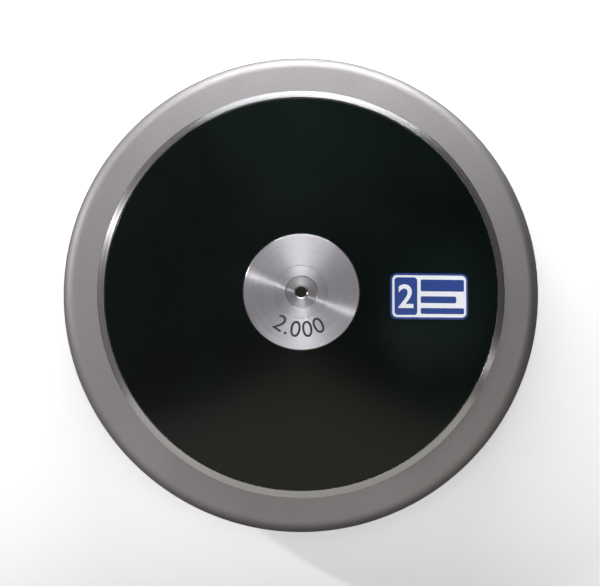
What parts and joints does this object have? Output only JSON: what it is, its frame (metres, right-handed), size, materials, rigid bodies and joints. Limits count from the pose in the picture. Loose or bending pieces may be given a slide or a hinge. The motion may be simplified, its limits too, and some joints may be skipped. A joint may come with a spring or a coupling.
{
  "type": "throwing discus",
  "caption": "Throwing discus with a heavy rounded steel rim, dark plastic side plates, aluminium hub plates and a weighted core.",
  "frame": {"origin": "middle of the rear hub face, which the discus lies on", "axes": "+Z along the discus's axis, out of the front hub face; +X towards the label; +Y completes a right-handed frame"},
  "size_m": [0.22, 0.22, 0.045],
  "materials": {
    "rim_steel": "satin",
    "plate_plastic": "gloss",
    "hub_aluminium": "satin",
    "screw_steel": "satin",
    "nut_steel": "satin",
    "spool_plastic": "matte",
    "weight_steel": "matte",
    "shim_brass": "satin",
    "seal_rubber": "matte",
    "label_film": "satin"
  },
  "bodies": {
    "root": {"rim": "rim_steel", "core_nut": "nut_steel", "core_spool": "spool_plastic", "front_gasket": "seal_rubber", "front_side_plate": "plate_plastic", "front_hub_plate": "hub_aluminium", "front_centre_screw": "screw_steel", "front_washer": "seal_rubber", "trim_shim_1": "shim_brass", "weight_disc_1": "weight_steel", "weight_disc_2": "weight_steel", "weight_disc_3": "weight_steel", "rear_gasket": "seal_rubber", "rear_side_plate": "plate_plastic", "rear_hub_plate": "hub_aluminium", "rear_centre_screw": "screw_steel", "rear_washer": "seal_rubber", "trim_shim_2": "shim_brass", "weight_disc_4": "weight_steel", "weight_disc_5": "weight_steel", "weight_disc_6": "weight_steel", "label": "label_film"}
  },
  "joints": []
}
